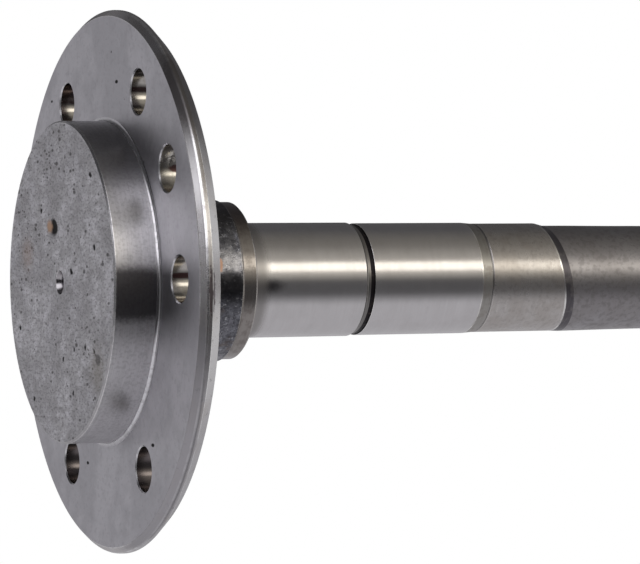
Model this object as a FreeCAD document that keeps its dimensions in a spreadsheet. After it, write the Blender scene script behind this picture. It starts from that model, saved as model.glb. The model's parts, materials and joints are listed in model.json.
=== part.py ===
import FreeCAD, Part
import math
import os

import Sketcher

# Rear axle shaft with a forged wheel flange, turned from one steel forging.
# It stands on the flat face of its hub pilot: the origin is the centre of that face, and +Z runs
# along the axis to the splined inner end. Lengths are millimetres and angles are degrees.
# A reach is measured from the wheel face of the flange towards the splined end.

SIZES = [
    ("axle_length", 780.0, "pilot face to the tip of the splined end"),
    ("pilot_diameter", 106.0, "solid hub pilot that centres the wheel"),
    ("pilot_height", 15.4, "pilot face to the wheel face of the flange"),
    ("pilot_edge_break", 0.6, "chamfer round the pilot face"),
    ("pilot_foot_radius", 1.2, "fillet where the pilot meets the wheel face"),
    ("flange_diameter", 179.0, "outside of the wheel flange"),
    ("flange_thickness", 7.6, "wheel face to the flat behind the studs"),
    ("rim_front_chamfer", 2.0, "chamfer between the wheel face and the rim"),
    ("rim_rear_chamfer", 4.0, "chamfer between the rim and the back face"),
    ("stud_circle_diameter", 139.7, "circle of the wheel stud holes"),
    ("stud_count", 6, "wheel stud holes"),
    ("stud_hole_diameter", 14.7, "bore that a wheel stud is pressed into"),
    ("hole_edge_break", 0.4, "countersink at the mouth of each flange hole"),
    ("access_circle_diameter", 139.7, "circle that the access hole lies on"),
    ("access_hole_diameter", 15.1, "hole a socket passes to reach the bearing retainer"),
    ("access_hole_angle", 30.0, "turn from the first stud hole to the access hole"),
    ("stud_seat_diameter", 116.0, "inner edge of the flat that stud heads seat on"),
    ("web_slope", 14.0, "forging draft of the web behind the flange"),
    ("hub_diameter", 54.0, "as-forged hub behind the flange"),
    ("hub_root_radius", 12.0, "forged fillet from the web to the hub"),
    ("collar_diameter", 52.6, "turned collar at the end of the hub"),
    ("collar_width", 4.9, "turned stretch of the collar"),
    ("collar_reach", 44.3, "shoulder at the end of the collar"),
    ("collar_edge_break", 0.6, "chamfer on the shoulder's edge"),
    ("collar_root_radius", 2.5, "fillet from the shoulder to the seal seat"),
    ("seal_seat_diameter", 38.5, "ground seat of the oil seal and spacer"),
    ("relief_reach", 86.5, "start of the relief groove"),
    ("relief_width", 3.2, "relief groove between the two ground seats"),
    ("relief_depth", 0.7, "depth of the groove below the seal seat"),
    ("bearing_seat_diameter", 38.0, "ground seat that the bearing is pressed on"),
    ("bearing_seat_reach", 130.3, "end of the bearing seat"),
    ("seat_lead", 3.0, "length of the lead from the ring seat to the bearing seat"),
    ("ring_seat_diameter", 37.4, "turned seat of the retaining ring"),
    ("tool_mark_width", 0.8, "turning groove at the foot of the lead"),
    ("tool_mark_depth", 0.25, "depth of that turning groove"),
    ("ring_seat_reach", 160.8, "end of the ring seat"),
    ("ring_lead", 3.2, "length of the lead from the shaft to the ring seat"),
    ("shaft_diameter", 36.7, "as-forged shaft beside the ring seat"),
    ("shaft_inner_diameter", 31.6, "as-forged shaft beside the neck"),
    ("neck_diameter", 29.6, "turned neck before the spline"),
    ("neck_length", 16.0, "parallel stretch of the neck"),
    ("neck_lead", 7.0, "length of the slope from the shaft down to the neck"),
    ("spline_length", 82.0, "toothed stretch at the inner end"),
    ("spline_teeth", 30, "teeth of the involute spline"),
    ("spline_module", 1.0583, "pitch diameter for each tooth"),
    ("spline_pressure_angle", 45.0, "involute pressure angle at the pitch circle"),
    ("spline_addendum", 0.53, "tooth height above the pitch circle"),
    ("spline_dedendum", 0.69, "space depth below the pitch circle"),
    ("spline_end_chamfer", 2.0, "chamfer at both ends of the spline"),
    ("centre_mouth_diameter", 8.0, "countersink of the lathe centres"),
    ("centre_drill_diameter", 3.2, "pilot drill of the lathe centres"),
    ("centre_drill_depth", 9.0, "full depth of the lathe centres"),
    ("centre_cone_angle", 60.0, "included angle of the lathe centres"),
]

# Height of the wheel face above the origin, as the expressions write it.
WHEEL_FACE = "sizes.pilot_height"
DRILL_POINT_ANGLE = 118.0

# Numbers by which a sketch knows its own origin and axes.
ORIGIN_INDEX = -1
HORIZONTAL_AXIS_INDEX = -1
VERTICAL_AXIS_INDEX = -2

# Share of a millimetre within which two places count as one.
SAME_PLACE_TOLERANCE = 1e-4


def make_sheet(document):
    """Write each size and its alias to the sheet that the features read."""
    sheet = document.addObject("Spreadsheet::Sheet", "sizes")
    for row, (alias, size, meaning) in enumerate(SIZES, start=1):
        sheet.set(f"A{row}", alias)
        sheet.set(f"B{row}", str(size))
        sheet.set(f"C{row}", meaning)
        sheet.setAlias(f"B{row}", alias)
    document.recompute()
    return sheet


def origin_feature(body, role):
    """Return the origin plane or axis of a body that has this role."""
    for feature in body.Origin.OriginFeatures:
        if feature.Role == role:
            return feature
    raise ValueError(f"{body.Label} has no {role}")


def new_sketch(body, name, role, height=None):
    """Put an empty sketch on an origin plane, lifted to a height if one is given."""
    sketch = body.newObject("Sketcher::SketchObject", name)
    sketch.AttachmentSupport = (origin_feature(body, role), "")
    sketch.MapMode = "FlatFace"
    if height is not None:
        sketch.setExpression("AttachmentOffset.Base.z", height)
    return sketch


def hold_across(sketch, geometry, point, expression):
    """Tie the distance of a point from the vertical axis to an expression."""
    across = sketch.evalExpression(expression)
    if abs(across) < SAME_PLACE_TOLERANCE:
        sketch.addConstraint(Sketcher.Constraint("PointOnObject", geometry, point, VERTICAL_AXIS_INDEX))
        return
    row = sketch.addConstraint(Sketcher.Constraint("DistanceX", ORIGIN_INDEX, 1, geometry, point, across))
    sketch.setExpression(f"Constraints[{row}]", expression)


def hold_up(sketch, geometry, point, expression):
    """Tie the distance of a point from the horizontal axis to an expression."""
    up = sketch.evalExpression(expression)
    if abs(up) < SAME_PLACE_TOLERANCE:
        sketch.addConstraint(Sketcher.Constraint("PointOnObject", geometry, point, HORIZONTAL_AXIS_INDEX))
        return
    row = sketch.addConstraint(Sketcher.Constraint("DistanceY", ORIGIN_INDEX, 1, geometry, point, up))
    sketch.setExpression(f"Constraints[{row}]", expression)


def draw_outline(sketch, corners):
    """Draw a closed outline whose corners are pairs of expressions, across and up."""
    places = []
    for across, up in corners:
        places.append(FreeCAD.Vector(sketch.evalExpression(across), sketch.evalExpression(up), 0))
    for start, end in zip(places, places[1:] + places[:1]):
        sketch.addGeometry(Part.LineSegment(start, end), False)
    for side, (across, up) in enumerate(corners):
        previous = (side - 1) % len(corners)
        sketch.addConstraint(Sketcher.Constraint("Coincident", previous, 2, side, 1))
        hold_across(sketch, side, 1, across)
        hold_up(sketch, side, 1, up)


def circle_edges(shape, places):
    """Name the full circles round the Z axis that lie at these pairs of radius and height."""
    names = []
    for number, edge in enumerate(shape.Edges, start=1):
        curve = edge.Curve
        if curve.TypeId != "Part::GeomCircle":
            continue
        if math.hypot(curve.Center.x, curve.Center.y) > SAME_PLACE_TOLERANCE:
            continue
        for radius, height in places:
            if math.hypot(curve.Radius - radius, curve.Center.z - height) < SAME_PLACE_TOLERANCE:
                names.append(f"Edge{number}")
    return names


def turn_forging(body):
    """Revolve the whole turned outline, from the pilot face to the splined end."""
    sketch = new_sketch(body, "turned_outline", "XZ_Plane")
    web_rise = "(sizes.stud_seat_diameter - sizes.hub_diameter) / 2 * tan(sizes.web_slope * 1deg)"
    flange_back = f"{WHEEL_FACE} + sizes.flange_thickness"
    hub_start = f"{flange_back} + {web_rise}"
    shoulder = f"{WHEEL_FACE} + sizes.collar_reach"
    collar_start = f"{shoulder} - sizes.collar_width"
    collar_step = "(sizes.hub_diameter - sizes.collar_diameter) / 2"
    relief_start = f"{WHEEL_FACE} + sizes.relief_reach"
    relief_end = f"{relief_start} + sizes.relief_width"
    relief_floor = "sizes.seal_seat_diameter / 2 - sizes.relief_depth"
    bearing_end = f"{WHEEL_FACE} + sizes.bearing_seat_reach"
    mark_start = f"{bearing_end} + sizes.seat_lead"
    mark_end = f"{mark_start} + sizes.tool_mark_width"
    mark_floor = "sizes.ring_seat_diameter / 2 - sizes.tool_mark_depth"
    ring_end = f"{WHEEL_FACE} + sizes.ring_seat_reach"
    shaft_start = f"{ring_end} + sizes.ring_lead"
    spline_start = "sizes.axle_length - sizes.spline_length"
    neck_start = f"{spline_start} - sizes.neck_length"
    neck_lip = f"{neck_start} - sizes.neck_lead"
    spline_radius = "(sizes.spline_teeth * sizes.spline_module / 2 + sizes.spline_addendum)"
    spline_rise = f"({spline_radius} - sizes.neck_diameter / 2)"
    draw_outline(sketch, [
        ("0", "0"),
        ("sizes.pilot_diameter / 2 - sizes.pilot_edge_break", "0"),
        ("sizes.pilot_diameter / 2", "sizes.pilot_edge_break"),
        ("sizes.pilot_diameter / 2", WHEEL_FACE),
        ("sizes.flange_diameter / 2 - sizes.rim_front_chamfer", WHEEL_FACE),
        ("sizes.flange_diameter / 2", f"{WHEEL_FACE} + sizes.rim_front_chamfer"),
        ("sizes.flange_diameter / 2", f"{flange_back} - sizes.rim_rear_chamfer"),
        ("sizes.flange_diameter / 2 - sizes.rim_rear_chamfer", flange_back),
        ("sizes.stud_seat_diameter / 2", flange_back),
        ("sizes.hub_diameter / 2", hub_start),
        ("sizes.hub_diameter / 2", f"{collar_start} - {collar_step}"),
        ("sizes.collar_diameter / 2", collar_start),
        ("sizes.collar_diameter / 2", f"{shoulder} - sizes.collar_edge_break"),
        ("sizes.collar_diameter / 2 - sizes.collar_edge_break", shoulder),
        ("sizes.seal_seat_diameter / 2", shoulder),
        ("sizes.seal_seat_diameter / 2", relief_start),
        (relief_floor, f"{relief_start} + sizes.relief_depth"),
        (relief_floor, relief_end),
        ("sizes.bearing_seat_diameter / 2", relief_end),
        ("sizes.bearing_seat_diameter / 2", bearing_end),
        ("sizes.ring_seat_diameter / 2", mark_start),
        (mark_floor, f"{mark_start} + sizes.tool_mark_depth"),
        (mark_floor, f"{mark_end} - sizes.tool_mark_depth"),
        ("sizes.ring_seat_diameter / 2", mark_end),
        ("sizes.ring_seat_diameter / 2", ring_end),
        ("sizes.shaft_diameter / 2", shaft_start),
        ("sizes.shaft_inner_diameter / 2", neck_lip),
        ("sizes.neck_diameter / 2", neck_start),
        ("sizes.neck_diameter / 2", spline_start),
        (spline_radius, f"{spline_start} + {spline_rise}"),
        (spline_radius, "sizes.axle_length - sizes.spline_end_chamfer"),
        (f"{spline_radius} - sizes.spline_end_chamfer", "sizes.axle_length"),
        ("0", "sizes.axle_length"),
    ])
    forging = body.newObject("PartDesign::Revolution", "turned_forging")
    forging.Profile = sketch
    forging.ReferenceAxis = (sketch, ["V_Axis"])
    forging.Angle = 360
    body.Document.recompute()
    return forging


def round_corner(body, name, radius, across, up):
    """Fillet the circle round the Z axis at this radius and height."""
    sheet = body.Document.getObject("sizes")
    place = (sheet.evalExpression(across), sheet.evalExpression(up))
    base = body.Tip
    fillet = body.newObject("PartDesign::Fillet", name)
    fillet.Base = (base, circle_edges(base.Shape, [place]))
    fillet.setExpression("Radius", radius)
    body.Document.recompute()
    return fillet


def round_forged_corners(body):
    """Add the fillets that the forging and the lathe leave in the corners."""
    shoulder = f"{WHEEL_FACE} + sizes.collar_reach"
    hub_rise = "(sizes.stud_seat_diameter - sizes.hub_diameter) / 2 * tan(sizes.web_slope * 1deg)"
    hub_start = f"{WHEEL_FACE} + sizes.flange_thickness + {hub_rise}"
    round_corner(body, "pilot_foot", "sizes.pilot_foot_radius", "sizes.pilot_diameter / 2", WHEEL_FACE)
    round_corner(body, "hub_root", "sizes.hub_root_radius", "sizes.hub_diameter / 2", hub_start)
    round_corner(body, "collar_root", "sizes.collar_root_radius", "sizes.seal_seat_diameter / 2", shoulder)


def repeat_round_axis(body, name, feature, count):
    """Repeat a feature evenly round the Z axis."""
    pattern = body.newObject("PartDesign::PolarPattern", name)
    pattern.Originals = [feature]
    pattern.Axis = (origin_feature(body, "Z_Axis"), [""])
    pattern.Angle = 360
    pattern.setExpression("Occurrences", count)
    body.Tip = pattern
    body.Document.recompute()
    return pattern


def drill_through_flange(body, name, diameter, across, along):
    """Drill one countersunk hole through the flange from its wheel face."""
    sketch = new_sketch(body, f"{name}_place", "XY_Plane", WHEEL_FACE)
    centre = FreeCAD.Vector(sketch.evalExpression(across), sketch.evalExpression(along), 0)
    radius = sketch.evalExpression(f"{diameter} / 2")
    sketch.addGeometry(Part.Circle(centre, FreeCAD.Vector(0, 0, 1), radius), False)
    hold_across(sketch, 0, 3, across)
    hold_up(sketch, 0, 3, along)
    row = sketch.addConstraint(Sketcher.Constraint("Diameter", 0, 2 * radius))
    sketch.setExpression(f"Constraints[{row}]", diameter)
    body.Document.recompute()
    hole = body.newObject("PartDesign::Hole", name)
    hole.Profile = sketch
    body.Document.recompute()
    hole.Reversed = True
    hole.DepthType = "Dimension"
    hole.DrillPoint = "Flat"
    hole.HoleCutType = "Countersink"
    hole.HoleCutCountersinkAngle = 90
    hole.setExpression("Diameter", diameter)
    hole.setExpression("HoleCutDiameter", f"{diameter} + 2 * sizes.hole_edge_break")
    hole.setExpression("Depth", "sizes.flange_thickness + sizes.rim_rear_chamfer")
    body.Document.recompute()
    return hole


def drill_flange(body):
    """Drill the ring of stud holes and the single access hole between two of them."""
    stud = drill_through_flange(body, "stud_hole", "sizes.stud_hole_diameter",
                                "sizes.stud_circle_diameter / 2", "0")
    repeat_round_axis(body, "stud_holes", stud, "sizes.stud_count")
    drill_through_flange(body, "access_hole", "sizes.access_hole_diameter",
                         "sizes.access_circle_diameter / 2 * cos(sizes.access_hole_angle * 1deg)",
                         "-sizes.access_circle_diameter / 2 * sin(sizes.access_hole_angle * 1deg)")


def drill_centre(body, name, face, inward):
    """Cut a lathe centre on the Z axis, its mouth at a face and its point going inward."""
    sketch = new_sketch(body, f"{name}_outline", "XZ_Plane")
    cone_depth = ("(sizes.centre_mouth_diameter - sizes.centre_drill_diameter) / 2"
                  " / tan(sizes.centre_cone_angle / 2 * 1deg)")
    point_depth = f"sizes.centre_drill_diameter / 2 / tan({DRILL_POINT_ANGLE / 2} * 1deg)"
    draw_outline(sketch, [
        ("0", face),
        ("sizes.centre_mouth_diameter / 2", face),
        ("sizes.centre_drill_diameter / 2", f"{face} {inward} {cone_depth}"),
        ("sizes.centre_drill_diameter / 2", f"{face} {inward} (sizes.centre_drill_depth - {point_depth})"),
        ("0", f"{face} {inward} sizes.centre_drill_depth"),
    ])
    centre = body.newObject("PartDesign::Groove", name)
    centre.Profile = sketch
    centre.ReferenceAxis = (sketch, ["V_Axis"])
    centre.Angle = 360
    body.Document.recompute()
    return centre


def involute(angle):
    """Return the involute function of an angle in radians."""
    return math.tan(angle) - angle


def cut_spline(body, sheet):
    """Cut one space between two teeth, then repeat it for every tooth."""
    teeth = sheet.spline_teeth
    pitch_radius = teeth * sheet.spline_module / 2
    pressure_angle = math.radians(sheet.spline_pressure_angle)
    base_radius = pitch_radius * math.cos(pressure_angle)

    def flank(radius):
        """Return the point of the upper flank at a radius, for a space centred on the X axis."""
        opening = involute(math.acos(base_radius / radius)) - involute(pressure_angle)
        half_space = math.pi / (2 * teeth) + opening
        return FreeCAD.Vector(radius * math.cos(half_space), radius * math.sin(half_space), 0)

    root_radius = pitch_radius - sheet.spline_dedendum
    clear_radius = pitch_radius + 2 * sheet.spline_addendum
    low, middle, high = flank(root_radius), flank(pitch_radius), flank(clear_radius)

    def mirrored(point):
        """Return the same point on the lower flank."""
        return FreeCAD.Vector(point.x, -point.y, 0)

    sketch = new_sketch(body, "tooth_space", "XY_Plane", "sizes.axle_length")
    root = FreeCAD.Vector(root_radius, 0, 0)
    sketch.addGeometry(Part.Arc(low, middle, high), False)
    sketch.addGeometry(Part.LineSegment(high, mirrored(high)), False)
    sketch.addGeometry(Part.Arc(mirrored(high), mirrored(middle), mirrored(low)), False)
    sketch.addGeometry(Part.Arc(mirrored(low), root, low), False)
    for geometry in range(sketch.GeometryCount):
        sketch.addConstraint(Sketcher.Constraint("Block", geometry))
    space = body.newObject("PartDesign::Pocket", "tooth_space_cut")
    space.Profile = sketch
    space.Type = "Length"
    space.setExpression("Length", "sizes.spline_length + sizes.neck_length / 2")
    body.Document.recompute()
    return repeat_round_axis(body, "spline", space, "sizes.spline_teeth")


def make_axle_shaft(document, sheet):
    """Build the axle shaft in the order in which the real one is made."""
    body = document.addObject("PartDesign::Body", "axle_shaft")
    body.Label = "axle_shaft"
    body.Placement = FreeCAD.Placement()
    volumes = []
    turn_forging(body)
    volumes.append(("turning", body.Shape.Volume))
    round_forged_corners(body)
    volumes.append(("fillets", body.Shape.Volume))
    drill_flange(body)
    volumes.append(("flange holes", body.Shape.Volume))
    drill_centre(body, "pilot_centre", "0", "+")
    drill_centre(body, "spline_centre", "sizes.axle_length", "-")
    volumes.append(("lathe centres", body.Shape.Volume))
    cut_spline(body, sheet)
    volumes.append(("spline", body.Shape.Volume))
    for step, volume in volumes:
        print(f"{step}: {volume:.1f} mm3")
    for (before, larger), (after, smaller) in list(zip(volumes, volumes[1:]))[1:]:
        if smaller >= larger:
            raise RuntimeError(f"the step '{after}' cut nothing away")
    return body


def check_model(document, bodies):
    """Stop if any object failed to rebuild or any body has no sound solid."""
    for item in document.Objects:
        if "Invalid" in item.State or "Error" in item.State:
            raise RuntimeError(f"{item.Name} is {item.State}")
        if item.isDerivedFrom("PartDesign::Feature") and item.Shape.isNull():
            raise RuntimeError(f"{item.Name} has no shape")
    for body in bodies:
        if body.Shape.isNull() or not body.Shape.isValid() or len(body.Shape.Solids) != 1:
            raise RuntimeError(f"{body.Label} isn't one sound solid")


def main():
    document = FreeCAD.newDocument("axle_shaft_model")
    sheet = make_sheet(document)
    bodies = [make_axle_shaft(document, sheet)]
    document.recompute()
    check_model(document, bodies)
    os.makedirs("parts", exist_ok=True)
    for body in bodies:
        body.Shape.exportStep(f"parts/{body.Label}.step")
        print(body.Label, body.Shape.BoundBox, f"{body.Shape.Volume:.1f} mm3")


main()
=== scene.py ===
import json
import math

import bpy
import numpy as np
from mathutils import Matrix, Vector, noise


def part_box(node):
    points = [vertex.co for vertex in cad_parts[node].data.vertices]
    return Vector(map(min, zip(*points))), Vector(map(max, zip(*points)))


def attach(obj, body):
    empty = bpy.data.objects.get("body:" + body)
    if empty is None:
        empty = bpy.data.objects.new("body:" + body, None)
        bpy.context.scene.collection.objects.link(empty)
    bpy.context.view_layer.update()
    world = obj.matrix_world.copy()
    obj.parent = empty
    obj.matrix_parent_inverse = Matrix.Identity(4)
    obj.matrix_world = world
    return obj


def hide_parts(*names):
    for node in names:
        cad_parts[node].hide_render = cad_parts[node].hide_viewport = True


bl_info = {
    "name": "Rear axle shaft",
    "version": (1, 0, 0),
    "blender": (4, 5, 0),
    "location": "3D View > Sidebar > Axle Shaft",
    "description": "Turns, drills and splines a rear axle shaft and sets it in a plain studio",
    "category": "Add Mesh",
}

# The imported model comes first, so that the defaults below can be read from it.
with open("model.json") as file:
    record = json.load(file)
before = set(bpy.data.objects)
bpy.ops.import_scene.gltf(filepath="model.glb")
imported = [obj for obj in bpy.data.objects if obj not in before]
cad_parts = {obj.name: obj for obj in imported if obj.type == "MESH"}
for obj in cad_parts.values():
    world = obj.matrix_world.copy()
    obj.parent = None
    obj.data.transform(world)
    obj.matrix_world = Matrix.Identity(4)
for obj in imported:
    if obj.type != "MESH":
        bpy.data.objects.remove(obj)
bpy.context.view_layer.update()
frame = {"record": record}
MOUNTS = {mount["name"]: mount for mount in frame["record"]["mounts"]}

MM = 0.001
NODE = "axle_shaft"

# Photograph's frame in pixels, and the camera that was fitted to the flange, holes and seats in it.
PHOTO_SIZE = (640, 564)
CAMERA_PLACE = Vector((1078.23, 9.494, -368.56)) * MM
CAMERA_RIGHT = Vector((0.3932764, 0.0148728, 0.9193000))
CAMERA_UP = Vector((0.0126267, -0.9998622, 0.0107745))
FOCAL_PIXELS = 3464.15
SENSOR_WIDTH = 36.0
CAMERA_REACH = 20.0


def mount_radius(name):
    """Return the radius of a round mount in millimetres."""
    return MOUNTS[name]["dims"]["r_mm"]


def mount_height(name, side=0):
    """Return the height of a mount in millimetres, or that of its wall's start (-1) or end (+1)."""
    mount = MOUNTS[name]
    return mount["pos_m"][2] / MM + side * mount["dims"].get("length_mm", 0) / 2


def length(name, description, millimetres):
    """Return a property for a length, whose default is given in millimetres."""
    return bpy.props.FloatProperty(name=name, description=description, default=millimetres * MM,
                                   min=0.0, precision=5, unit="LENGTH")


class AxleShaftSizes(bpy.types.PropertyGroup):
    """Sizes of the shaft that a user would change."""

    segments: bpy.props.IntProperty(name="Segments", description="Facets round the axis",
                                    default=240, min=24)
    total_length: length("Length", "Pilot face to the tip of the spline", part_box(NODE)[1].z / MM)
    pilot_radius: length("Pilot radius", "Hub pilot that centres the wheel", mount_radius("wheel_pilot"))
    wheel_face: length("Wheel face", "Height of the wheel face", mount_height("wheel_face"))
    stud_seat: length("Stud seat", "Height of the flat behind the studs", mount_height("stud_head_seat"))
    flange_radius: length("Flange radius", "Outside of the wheel flange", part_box(NODE)[1].x / MM)
    rim_front_chamfer: length("Front chamfer", "Chamfer from the wheel face to the rim", 2.0)
    rim_rear_chamfer: length("Rear chamfer", "Chamfer from the rim to the back face", 4.0)
    stud_seat_radius: length("Stud seat radius", "Inner edge of the flat behind the studs", 58.0)
    hub_radius: length("Hub radius", "As-forged hub behind the flange", 27.0)
    hub_start: length("Hub start", "Height where the forged web meets the hub", 30.73)
    collar_radius: length("Collar radius", "Turned collar at the end of the hub", 26.3)
    collar_start: length("Collar start", "Height where the turned collar starts", 54.8)
    shoulder: length("Shoulder", "Height of the shoulder that the seal spacer meets", 59.7)
    seal_radius: length("Seal seat radius", "Ground seat of the seal", mount_radius("seal_seat"))
    relief_start: length("Relief start", "Height where the relief groove starts",
                         mount_height("seal_seat", 1))
    relief_width: length("Relief width", "Width of the relief groove", 3.2)
    relief_depth: length("Relief depth", "Depth of the relief groove below the seal seat", 0.7)
    bearing_radius: length("Bearing seat radius", "Ground seat of the bearing",
                           mount_radius("bearing_seat"))
    bearing_end: length("Bearing seat end", "Height where the bearing seat ends",
                        mount_height("bearing_seat", 1))
    ring_radius: length("Ring seat radius", "Turned seat of the retaining ring",
                        mount_radius("ring_seat"))
    ring_start: length("Ring seat start", "Height where the ring seat starts",
                       mount_height("ring_seat", -1))
    ring_end: length("Ring seat end", "Height where the ring seat ends", mount_height("ring_seat", 1))
    tool_mark_width: length("Tool mark width", "Turning groove at the foot of the lead", 0.8)
    tool_mark_depth: length("Tool mark depth", "Depth of that turning groove", 0.25)
    ring_lead: length("Ring lead", "Lead from the forged shaft to the ring seat", 3.2)
    shaft_radius: length("Shaft radius", "As-forged shaft beside the ring seat", 18.35)
    shaft_inner_radius: length("Inner shaft radius", "As-forged shaft beside the neck", 15.8)
    neck_radius: length("Neck radius", "Turned neck before the spline", 14.8)
    neck_length: length("Neck length", "Parallel stretch of the neck", 16.0)
    neck_lead: length("Neck lead", "Slope from the shaft down to the neck", 7.0)
    spline_length: length("Spline length", "Toothed stretch at the inner end", 82.0)
    spline_teeth: bpy.props.IntProperty(name="Teeth", description="Teeth of the spline", default=30,
                                        min=6)
    spline_module: length("Module", "Pitch diameter for each tooth", 1.0583)
    pressure_angle: bpy.props.FloatProperty(name="Pressure angle", subtype="ANGLE", min=0.0,
                                            description="Involute pressure angle at the pitch circle",
                                            default=math.radians(45.0))
    spline_addendum: length("Addendum", "Tooth height above the pitch circle", 0.53)
    spline_dedendum: length("Dedendum", "Space depth below the pitch circle", 0.69)
    spline_chamfer: length("Spline chamfer", "Chamfer at the tip of the spline", 2.0)
    stud_count: bpy.props.IntProperty(name="Studs", description="Wheel stud holes", min=1,
                                      default=MOUNTS["wheel_studs"]["dims"]["count"])
    stud_circle: length("Stud circle", "Radius of the circle of stud holes",
                        MOUNTS["wheel_studs"]["dims"]["pcd_mm"] / 2)
    stud_hole_radius: length("Stud hole radius", "Bore that a stud is pressed into",
                             MOUNTS["wheel_studs"]["dims"]["hole_r_mm"])
    access_hole_radius: length("Access hole radius", "Hole that a socket passes through",
                               mount_radius("access_hole"))
    hole_edge_break: length("Hole edge break", "Countersink at the mouth of each hole", 0.4)
    centre_mouth_radius: length("Centre mouth", "Mouth of the lathe centres", 4.0)
    centre_drill_radius: length("Centre drill", "Pilot drill of the lathe centres", 1.6)
    centre_depth: length("Centre depth", "Full depth of the lathe centres", 9.0)


class StudioSettings(bpy.types.PropertyGroup):
    """Light and floor of the studio."""

    floor_colour: bpy.props.FloatVectorProperty(name="Floor colour", description="Pale floor",
                                                subtype="COLOR", size=3, default=(0.82, 0.82, 0.81))
    strip_power: bpy.props.FloatProperty(name="Strip lamp", unit="POWER", default=145.0,
                                         description="Power of the tall strip lamp beside the camera")


# Nodes


def feed(tree, socket, value):
    """Link a socket to another one's output, or set its value."""
    if isinstance(value, bpy.types.NodeSocket):
        tree.links.new(value, socket)
    else:
        socket.default_value = value


def add_node(tree, kind, inputs=None, **settings):
    """Add a node, set its plain settings, feed its inputs by name or number and return it."""
    node = tree.nodes.new(kind)
    for name, value in settings.items():
        setattr(node, name, value)
    for label, value in (inputs or {}).items():
        feed(tree, node.inputs[label], value)
    return node


def maths(tree, operation, *values):
    """Return the output of a maths node on these values or sockets."""
    return add_node(tree, "ShaderNodeMath", dict(enumerate(values)), operation=operation).outputs[0]


def vector_maths(tree, operation, *values):
    """Return the output of a vector maths node on these values or sockets."""
    node = add_node(tree, "ShaderNodeVectorMath", dict(enumerate(values)), operation=operation)
    return node.outputs["Value" if operation == "LENGTH" else "Vector"]


def scale_vector(tree, vector, factor):
    """Return a vector scaled by a number or socket."""
    inputs = {0: vector, "Scale": factor}
    return add_node(tree, "ShaderNodeVectorMath", inputs, operation="SCALE").outputs["Vector"]


def combine(tree, **axes):
    """Return the vector with these values on its axes."""
    return add_node(tree, "ShaderNodeCombineXYZ", axes).outputs[0]


def separate(tree, vector):
    """Return the three axes of a vector."""
    return add_node(tree, "ShaderNodeSeparateXYZ", {0: vector}).outputs


def on_circle(tree, radius, angle, height):
    """Return the place at a radius, angle and height round the Z axis."""
    across = maths(tree, "MULTIPLY", radius, maths(tree, "COSINE", angle))
    return combine(tree, X=across, Y=maths(tree, "MULTIPLY", radius, maths(tree, "SINE", angle)), Z=height)


def map_range(tree, value, low, high):
    """Return a socket that rises smoothly from 0 to 1 as a value goes from low to high."""
    inputs = {"Value": value, "From Min": low, "From Max": high}
    return add_node(tree, "ShaderNodeMapRange", inputs, interpolation_type="SMOOTHSTEP").outputs["Result"]


def mix(tree, kind, factor, below, above):
    """Return two numbers (FLOAT) or two colours (RGBA) mixed by a factor."""
    first, result = (2, 0) if kind == "FLOAT" else (6, 2)
    node = add_node(tree, "ShaderNodeMix", data_type=kind)
    for number, value in ((0, factor), (first, below), (first + 1, above)):
        feed(tree, node.inputs[number], value)
    return node.outputs[result]


def new_tree(name, kind, inputs, label, output):
    """Make a node group with one output, and return it with its inputs' sockets and that output's."""
    tree = bpy.data.node_groups.new(name, kind)
    for socket_name, socket_kind, default in inputs:
        socket = tree.interface.new_socket(name=socket_name, in_out="INPUT",
                                           socket_type="NodeSocket" + socket_kind)
        if default is not None:
            socket.default_value = default
    tree.interface.new_socket(name=label, in_out="OUTPUT", socket_type="NodeSocket" + output)
    return tree, tree.nodes.new("NodeGroupInput").outputs, tree.nodes.new("NodeGroupOutput").inputs[0]


# The turned outline

# A row of vertices this far from each corner keeps its shading crisp.
SUPPORT = 0.12 * MM
ARC_STEP = math.radians(16)
NO_TURN = 1e-7
WORN_ROUNDING = 1.25 * MM
HALF_CONE_ANGLE = math.radians(30)
HALF_POINT_ANGLE = math.radians(59)
PILOT_EDGE_BREAK = 0.6 * MM
PILOT_FOOT_WIDTH = 1.3 * MM
COLLAR_EDGE_BREAK = 0.6 * MM
# Width of the painted shade at the end of the relief's floor.
RELIEF_SHADE_WIDTH = 1.4 * MM
BEARING_EDGE_WIDTH = 0.4 * MM
RING_EDGE_WIDTH = 0.5 * MM


class Corner:
    """A corner of the outline: its place and rounding, and the finish and spacing of the run after it."""

    def __init__(self, across, up, finish, rounding=0.25, spacing=9.0):
        self.place = Vector((across, up))
        self.finish = FINISH_NUMBER[finish]
        self.rounding = rounding * MM
        self.spacing = spacing * MM


def neck_lip(sizes):
    """Return the height where the forged shaft ends and slopes down to the neck."""
    return sizes.total_length - sizes.spline_length - sizes.neck_length - sizes.neck_lead


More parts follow.
